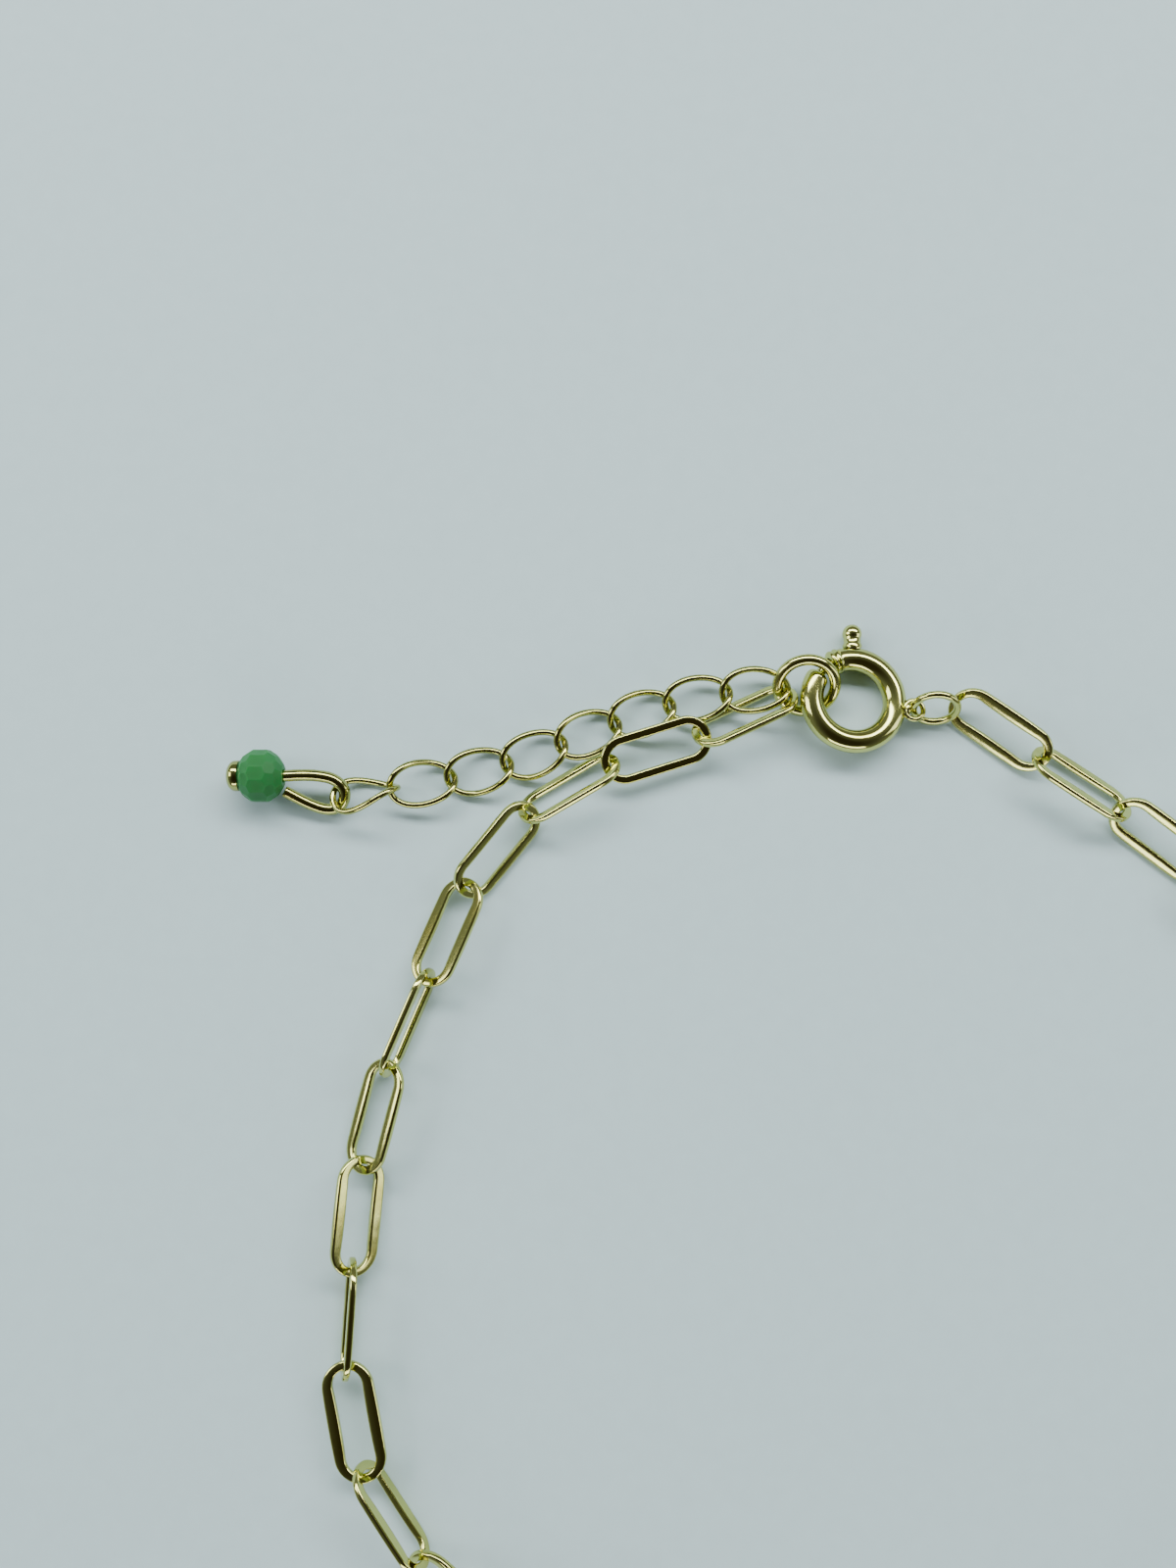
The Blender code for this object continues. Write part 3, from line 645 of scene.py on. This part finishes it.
class BRACELET_OT_extender_links(bpy.types.Operator):
    """Make the twisted oval links of the extender"""
    bl_idname = "bracelet.extender_links"
    bl_label = "Extender Links"

    def execute(self, context):
        sizes = context.scene.bracelet_chain
        half_length = (sizes.oval_length - sizes.oval_wire) / 2
        half_width = (sizes.oval_width - sizes.oval_wire) / 2
        places = []
        for step in range(OVAL_STEPS):
            turn = math.tau * step / OVAL_STEPS
            ahead = Vector((-half_length * math.sin(turn), half_width * math.cos(turn),
                            -2 * sizes.oval_twist * math.cos(2 * turn))).normalized()
            out = ahead.cross(UP).normalized()
            place = Vector((half_length * math.cos(turn), half_width * math.sin(turn),
                            -sizes.oval_twist * math.sin(2 * turn)))
            places.append(placement(place, out, out.cross(ahead)))
        for name in EXTENDER_NODES:
            bm = bmesh.new()
            edges = round_section(bm, sizes.oval_wire / 2, 16, places[0])
            sweep(bm, edges, places, closed=True)
            # The extender links take the gold darkened as painted shade
            finish_piece(name + "_gold", bm, node_matrix(name), shade_darkened_gold(), "bracelet", name)
        return {"FINISHED"}


class BRACELET_OT_rings(bpy.types.Operator):
    """Make the end ring and the jump ring"""
    bl_idname = "bracelet.rings"
    bl_label = "End Ring and Jump Ring"

    def execute(self, context):
        sizes = context.scene.bracelet_clasp
        for node, diameter, wire in (("end_ring", sizes.end_ring, sizes.end_ring_wire),
                                     ("clasp_jump_ring", sizes.jump_ring, sizes.jump_ring_wire)):
            bm = bmesh.new()
            round_ring(bm, diameter, wire)
            finish_piece(node + "_gold", bm, node_matrix(node), gold(), "bracelet", node)
        return {"FINISHED"}


class BRACELET_OT_clasp_ring(bpy.types.Operator):
    """Make the clasp's slotted tube, with its collar, rounded lip and soldered eye"""
    bl_idname = "bracelet.clasp_ring"
    bl_label = "Clasp Ring"

    def execute(self, context):
        sizes = context.scene.bracelet_clasp
        middle = (sizes.diameter - sizes.tube) / 2
        arc = MOUTH_START + 360 - MOUTH_END
        bm = bmesh.new()
        half_side = Matrix.Rotation(math.pi / TUBE_SIDES, 4, "Z")
        start = standing_at(MOUTH_END, middle) @ half_side
        edges = (round_section(bm, sizes.tube / 2, TUBE_SIDES, start)
                 + round_section(bm, sizes.bore / 2, TUBE_SIDES, start))
        verts = once_each(vertex for edge in edges for vertex in edge.verts)
        bmesh.ops.spin(bm, geom=verts + edges, cent=(0, 0, 0), axis=(0, 0, 1), dvec=(0, 0, 0),
                       angle=math.radians(arc), steps=int(arc), use_merge=False, use_duplicate=False)
        between_walls = (sizes.tube + sizes.bore) / 4
        self.turn_bore(bm, middle, between_walls)
        self.shape_outside(bm, middle, between_walls, sizes.tube / 2)
        self.cut_slot(bm, middle)
        self.close_ends(bm)
        self.add_eye(bm, sizes)
        finish_piece("clasp_ring_gold", bm, clasp_matrix(), gold(), "bracelet", "clasp_ring")
        return {"FINISHED"}

    def turn_bore(self, bm, middle, between_walls):
        """Turn the bore's faces to its middle, so that the walls bridged to them all agree."""
        bore = []
        for face in bm.faces:
            place = face.verts[0].co
            if math.hypot(math.hypot(place.x, place.y) - middle, place.z) < between_walls:
                bore.append(face)
        bmesh.ops.reverse_faces(bm, faces=bore)

    def shape_outside(self, bm, middle, between_walls, radius):
        """Gather the outer wall's columns beside the slot and give it its collar and lip."""
        for vertex in bm.verts:
            angle = self.angle_of(vertex.co)
            line = polar(angle, middle)
            reach = vertex.co - line
            if reach.length < between_walls:
                continue
            across = math.degrees(math.atan2(reach.z, reach.dot(polar(angle))))
            gathered = float(np.interp(abs(across), *GATHERED))
            turn = math.radians(math.copysign(gathered, across))
            share = share_at(COLLAR, angle - MOUTH_START - 360) * share_at(LIP, angle - MOUTH_END)
            direction = polar(angle) * math.cos(turn) + UP * math.sin(turn)
            vertex.co = line + direction * radius * share

    def angle_of(self, place):
        """Degrees round the clasp, counted on from the mouth's end."""
        angle = math.degrees(math.atan2(place.y, place.x)) % 360
        return angle + 360 if angle < (MOUTH_START + MOUTH_END) / 2 else angle

    def cut_slot(self, bm, middle):
        """Open the slot outside, through both walls, and close its sides."""
        gone = []
        for face in bm.faces:
            place = face.calc_center_median()
            angle = self.angle_of(place) - 360
            radius = math.hypot(place.x, place.y)
            if SLOT_START < angle < SLOT_END and radius > middle and abs(place.z) < SLOT_HALF_WIDTH:
                gone.append(face)
        bmesh.ops.delete(bm, geom=gone, context="FACES")
        rim = [edge for edge in bm.edges if edge.is_boundary
               and SLOT_START - 2 < self.angle_of(edge.verts[0].co) - 360 < SLOT_END + 2]
        bmesh.ops.bridge_loops(bm, edges=rim)

    def close_ends(self, bm):
        """Wall off the tube round its bore at both sides of the mouth."""
        for end in (MOUTH_END, MOUTH_START + 360):
            rims = [edge for edge in bm.edges if edge.is_boundary
                    and abs(self.angle_of((edge.verts[0].co + edge.verts[1].co) / 2) - end) < 4]
            bmesh.ops.bridge_loops(bm, edges=rims)

    def add_eye(self, bm, sizes):
        """Set the eye on the tube's outside, in a drop of solder."""
        edge = sizes.diameter / 2
        reach = edge + sizes.eye / 2 - sizes.eye_wire / 2 - EYE_SUNK
        eye = bmesh.new()
        round_ring(eye, sizes.eye, sizes.eye_wire, steps=48, sides=16)
        bmesh.ops.translate(eye, vec=polar(EYE_ANGLE, reach) + UP * EYE_HEIGHT, verts=eye.verts)
        solder = bmesh.ops.create_uvsphere(eye, u_segments=24, v_segments=14, radius=0.5)["verts"]
        where = Matrix.Translation(polar(EYE_ANGLE, edge + SOLDER_OUT) + UP * SOLDER_HEIGHT)
        turn = Matrix.Rotation(math.radians(EYE_ANGLE), 4, "Z")
        squash = Matrix.Diagonal((*SOLDER_SIZE, 1.0))
        bmesh.ops.transform(eye, matrix=where @ turn @ squash, verts=solder)
        take_in(bm, eye)


class BRACELET_OT_clasp_gate(bpy.types.Operator):
    """Make the clasp's tongue and thumb knob, which turn round the clasp's middle"""
    bl_idname = "bracelet.clasp_gate"
    bl_label = "Clasp Gate"

    def execute(self, context):
        sizes = context.scene.bracelet_clasp
        middle = (sizes.diameter - sizes.tube) / 2
        arc = TONGUE_END - TONGUE_START
        bm = bmesh.new()
        places = [standing_at(TONGUE_START + arc * step / TONGUE_STEPS, middle)
                  for step in range(TONGUE_STEPS + 1)]
        edges = round_section(bm, sizes.tongue / 2, 24, places[0])
        for end in sweep(bm, edges, places):
            rounded_end(bm, end, TONGUE_ROUNDING)
        knob = turned_piece(self.knob_profile(sizes, middle))
        self.seat(knob, sizes)
        bmesh.ops.transform(knob, matrix=Matrix.Rotation(math.radians(KNOB_ANGLE), 4, "Z"),
                            verts=knob.verts)
        take_in(bm, knob)
        finish_piece("clasp_gate_gold", bm, clasp_matrix(), gold(), "gate", "clasp_gate")
        return {"FINISHED"}

    def seat(self, knob, sizes):
        """Let the knob's foot follow the round of the tube below it."""
        base = sizes.diameter / 2 + FOOT_GAP
        reach = sizes.tube / 2 + FOOT_GAP
        for vertex in knob.verts:
            off_neck = math.hypot(vertex.co.y, vertex.co.z) > sizes.knob * NECK_SHARE
            near_foot = 1 - (vertex.co.x - base) / FOOT_HEIGHT
            if off_neck and near_foot > 0:
                drop = reach - math.sqrt(reach ** 2 - vertex.co.z ** 2)
                vertex.co.x -= drop * min(near_foot, 1)

    def knob_profile(self, sizes, middle):
        """Neck in the slot, rounded foot, waist and ball, as (distance from the middle, radius)."""
        base = sizes.diameter / 2 + FOOT_GAP
        ball = sizes.knob / 2
        centre = sizes.diameter / 2 + sizes.knob_height - ball
        profile = [(middle, 0.0), (middle, KNOB_NECK), (base, KNOB_NECK)]
        profile += [(base + height * MM, ball * share) for height, share in KNOB_FOOT]
        for step in range(BALL_STEPS + 1):
            turn = math.radians(BALL_START + (90 - BALL_START) * step / BALL_STEPS)
            profile.append((centre + ball * math.sin(turn), max(ball * math.cos(turn), 0.0)))
        return profile


class BRACELET_OT_eye_pin(bpy.types.Operator):
    """Make the eye pin: domed head, shank through the bead, and teardrop loop"""
    bl_idname = "bracelet.eye_pin"
    bl_label = "Eye Pin"

    def execute(self, context):
        sizes = context.scene.bracelet_bead
        half = sizes.length / 2
        bend = [Vector((half, 0, 0)) + Vector((x, y, 0)) * MM for x, y in PIN_LOOP]
        path = smooth_path([Vector((-half, 0, 0)), Vector((0, 0, 0))] + bend, PIN_STEPS)
        places = []
        for i, place in enumerate(path):
            ahead = (path[min(i + 1, len(path) - 1)] - path[max(i - 1, 0)]).normalized()
            places.append(placement(place, UP.cross(ahead), UP))
        bm = bmesh.new()
        edges = round_section(bm, sizes.pin_wire / 2, 20, places[0])
        for end in sweep(bm, edges, places):
            rounded_end(bm, end, PIN_ROUNDING)
        head_start = -half - HEAD_GAP - sizes.head_thickness
        profile = [(head_start + sizes.head_thickness * along, sizes.pin_head / 2 * share)
                   for along, share in PIN_HEAD]
        take_in(bm, turned_piece(profile + [(-half, sizes.pin_wire / 2 * 0.98), (-half, 0.0)]))
        where = Matrix.Translation(bead_centre()) @ Matrix.Rotation(sizes.pin_droop, 4, "X")
        # The eye pin takes the gold darkened as painted shade
        finish_piece("eye_pin_gold", bm, where, shade_darkened_gold(), "bracelet", "eye_pin")
        return {"FINISHED"}


class BRACELET_OT_emerald_bead(bpy.types.Operator):
    """Cut the faceted green bead and drill it"""
    bl_idname = "bracelet.emerald_bead"
    bl_label = "Emerald Bead"

    def execute(self, context):
        sizes = context.scene.bracelet_bead
        step = 360 / sizes.facets
        bm = bmesh.new()
        bmesh.ops.create_cube(bm, size=1.0)
        rough_width = sizes.diameter * 1.2
        bmesh.ops.scale(bm, vec=(sizes.length, rough_width, rough_width), verts=bm.verts)
        for side in range(sizes.facets):
            self.grind(bm, BEAD_BELT, 1, step * side)
            for end in (1, -1):
                self.grind(bm, BEAD_SHOULDER, end, step * (side + 0.5))
                self.grind(bm, BEAD_CROWN, end, step * side)
        bmesh.ops.dissolve_limit(bm, angle_limit=math.radians(2), verts=bm.verts, edges=bm.edges)
        bmesh.ops.bevel(bm, geom=list(bm.edges), offset=BEAD_EDGE, offset_type="OFFSET",
                        affect="EDGES", segments=2, profile=0.5, material=-1)
        self.drill(bm, sizes)
        where = Matrix.Translation(bead_centre())
        finish_piece("emerald_bead_stone", bm, where, shared_finish("emerald_stone", emerald_stone),
                     "bracelet", "emerald_bead", smooth=False)
        return {"FINISHED"}

    def grind(self, bm, facet, end, angle):
        """Cut one flat facet on one end of the bead, turned round its hole."""
        slope, rise, distance = facet
        turn = math.radians(angle - 90)
        normal = Vector((end * slope, rise * math.cos(turn), rise * math.sin(turn)))
        cut = bmesh.ops.bisect_plane(bm, geom=bm.verts[:] + bm.edges[:] + bm.faces[:],
                                     plane_co=normal.normalized() * distance * MM, plane_no=normal,
                                     clear_outer=True, clear_inner=False, dist=0.0000001)
        rim = [part for part in cut["geom_cut"] if isinstance(part, bmesh.types.BMEdge)]
        if rim:
            bmesh.ops.holes_fill(bm, edges=rim)

    def drill(self, bm, sizes):
        """Open a round hole in both flat ends and join them through the bead."""
        ends = [face for face in bm.faces if abs(face.normal.x) > 0.999 and len(face.verts) > 8]
        rims = []
        for face in ends:
            bmesh.ops.inset_individual(bm, faces=[face], thickness=HOLE_RIM)
            middle = face.calc_center_median()
            for vertex in face.verts:
                reach = vertex.co - middle
                vertex.co = middle + reach.normalized() * sizes.hole / 2
            rims += list(face.edges)
        bmesh.ops.delete(bm, geom=ends, context="FACES_ONLY")
        bmesh.ops.bridge_loops(bm, edges=rims)


class BRACELET_OT_stage(bpy.types.Operator):
    """Lay the pale floor and set the soft light and the camera"""
    bl_idname = "bracelet.stage"
    bl_label = "Stage"

    def execute(self, context):
        settings = context.scene.bracelet_stage
        middle = bead_centre() + Vector((settings.look_right, settings.look_up, 0))
        middle.z = 0
        bm = bmesh.new()
        bmesh.ops.create_grid(bm, x_segments=2, y_segments=2, size=settings.floor_size / 2)
        mesh = bpy.data.meshes.new("pale_floor")
        bm.to_mesh(mesh)
        bm.free()
        mesh.materials.append(shared_finish("pale_surface", pale_surface))
        floor = bpy.data.objects.new("pale_floor", mesh)
        context.scene.collection.objects.link(floor)
        self.add_camera(context, settings, middle)
        for name, values in LIGHTS.items():
            self.add_light(context, name, middle, *values)
        self.set_world(context)
        return {"FINISHED"}

    def add_camera(self, context, settings, middle):
        data = bpy.data.cameras.new("overhead_camera")
        data.sensor_fit = "VERTICAL"
        data.sensor_height = 36.0
        data.lens = settings.lens
        data.clip_start = 0.005
        data.clip_end = 10.0
        camera = bpy.data.objects.new("overhead_camera", data)
        context.scene.collection.objects.link(camera)
        tilt = settings.camera_tilt
        backwards = Vector((0, -math.sin(tilt), math.cos(tilt)))
        camera.location = middle + backwards * settings.camera_distance
        camera.rotation_euler = (tilt, 0, 0)
        context.scene.camera = camera

    def add_light(self, context, name, middle, offset, size, power, colour):
        data = bpy.data.lights.new(name, "AREA")
        data.shape = "RECTANGLE"
        data.size, data.size_y = size
        data.energy = power
        data.color = colour
        light = bpy.data.objects.new(name, data)
        context.scene.collection.objects.link(light)
        light.location = middle + Vector(offset)
        light.rotation_euler = (-Vector(offset)).to_track_quat("-Z", "Y").to_euler()

    def set_world(self, context):
        """Room that is dark overhead and behind the camera, and paler towards its walls."""
        world = bpy.data.worlds.new("soft_room")
        room = Finish(world, "Background")
        direction = room.node("ShaderNodeTexCoord", output="Generated")
        shade = room.node("ShaderNodeVectorMath", {"operation": "DOT_PRODUCT"},
                          {0: direction, 1: ROOM_DARK_SIDE}, output="Value")
        tone = room.node("ShaderNodeValToRGB", {"stops": ROOM_TONES}, {0: shade})
        room.set({"Color": tone, "Strength": ROOM_STRENGTH})
        context.scene.world = world


class BRACELET_PT_maker(bpy.types.Panel):
    """Lists the bracelet's sizes, finishes and steps"""
    bl_idname = "BRACELET_PT_maker"
    bl_label = "Emerald Bracelet"
    bl_space_type = "VIEW_3D"
    bl_region_type = "UI"
    bl_category = "Bracelet"

    def draw(self, context):
        for group, steps in PANEL_ROWS:
            box = self.layout.box()
            settings = getattr(context.scene, group)
            for field in settings.bl_rna.properties:
                if field.identifier not in ("rna_type", "name"):
                    box.prop(settings, field.identifier)
            for step in steps:
                box.operator(step)


PANEL_ROWS = (
    ("bracelet_chain", ("bracelet.chain_links", "bracelet.extender_links")),
    ("bracelet_clasp", ("bracelet.rings", "bracelet.clasp_ring", "bracelet.clasp_gate")),
    ("bracelet_bead", ("bracelet.eye_pin", "bracelet.emerald_bead")),
    ("bracelet_finishes", ()),
    ("bracelet_stage", ("bracelet.stage",)),
)

SETTINGS = (
    ("bracelet_chain", ChainSizes),
    ("bracelet_clasp", ClaspSizes),
    ("bracelet_bead", BeadSizes),
    ("bracelet_finishes", Finishes),
    ("bracelet_stage", StageSettings),
)

CLASSES = (
    BRACELET_OT_chain_links,
    BRACELET_OT_extender_links,
    BRACELET_OT_rings,
    BRACELET_OT_clasp_ring,
    BRACELET_OT_clasp_gate,
    BRACELET_OT_eye_pin,
    BRACELET_OT_emerald_bead,
    BRACELET_OT_stage,
    BRACELET_PT_maker,
)


def register():
    for name, group in SETTINGS:
        bpy.utils.register_class(group)
        setattr(bpy.types.Scene, name, PointerProperty(type=group))
    for made in CLASSES:
        bpy.utils.register_class(made)


def unregister():
    for made in reversed(CLASSES):
        bpy.utils.unregister_class(made)
    for name, group in reversed(SETTINGS):
        delattr(bpy.types.Scene, name)
        bpy.utils.unregister_class(group)


def main():
    register()
    bpy.ops.bracelet.chain_links()
    bpy.ops.bracelet.extender_links()
    bpy.ops.bracelet.rings()
    bpy.ops.bracelet.clasp_ring()
    bpy.ops.bracelet.clasp_gate()
    bpy.ops.bracelet.eye_pin()
    bpy.ops.bracelet.emerald_bead()
    bpy.ops.bracelet.stage()


if __name__ == "__main__":
    main()
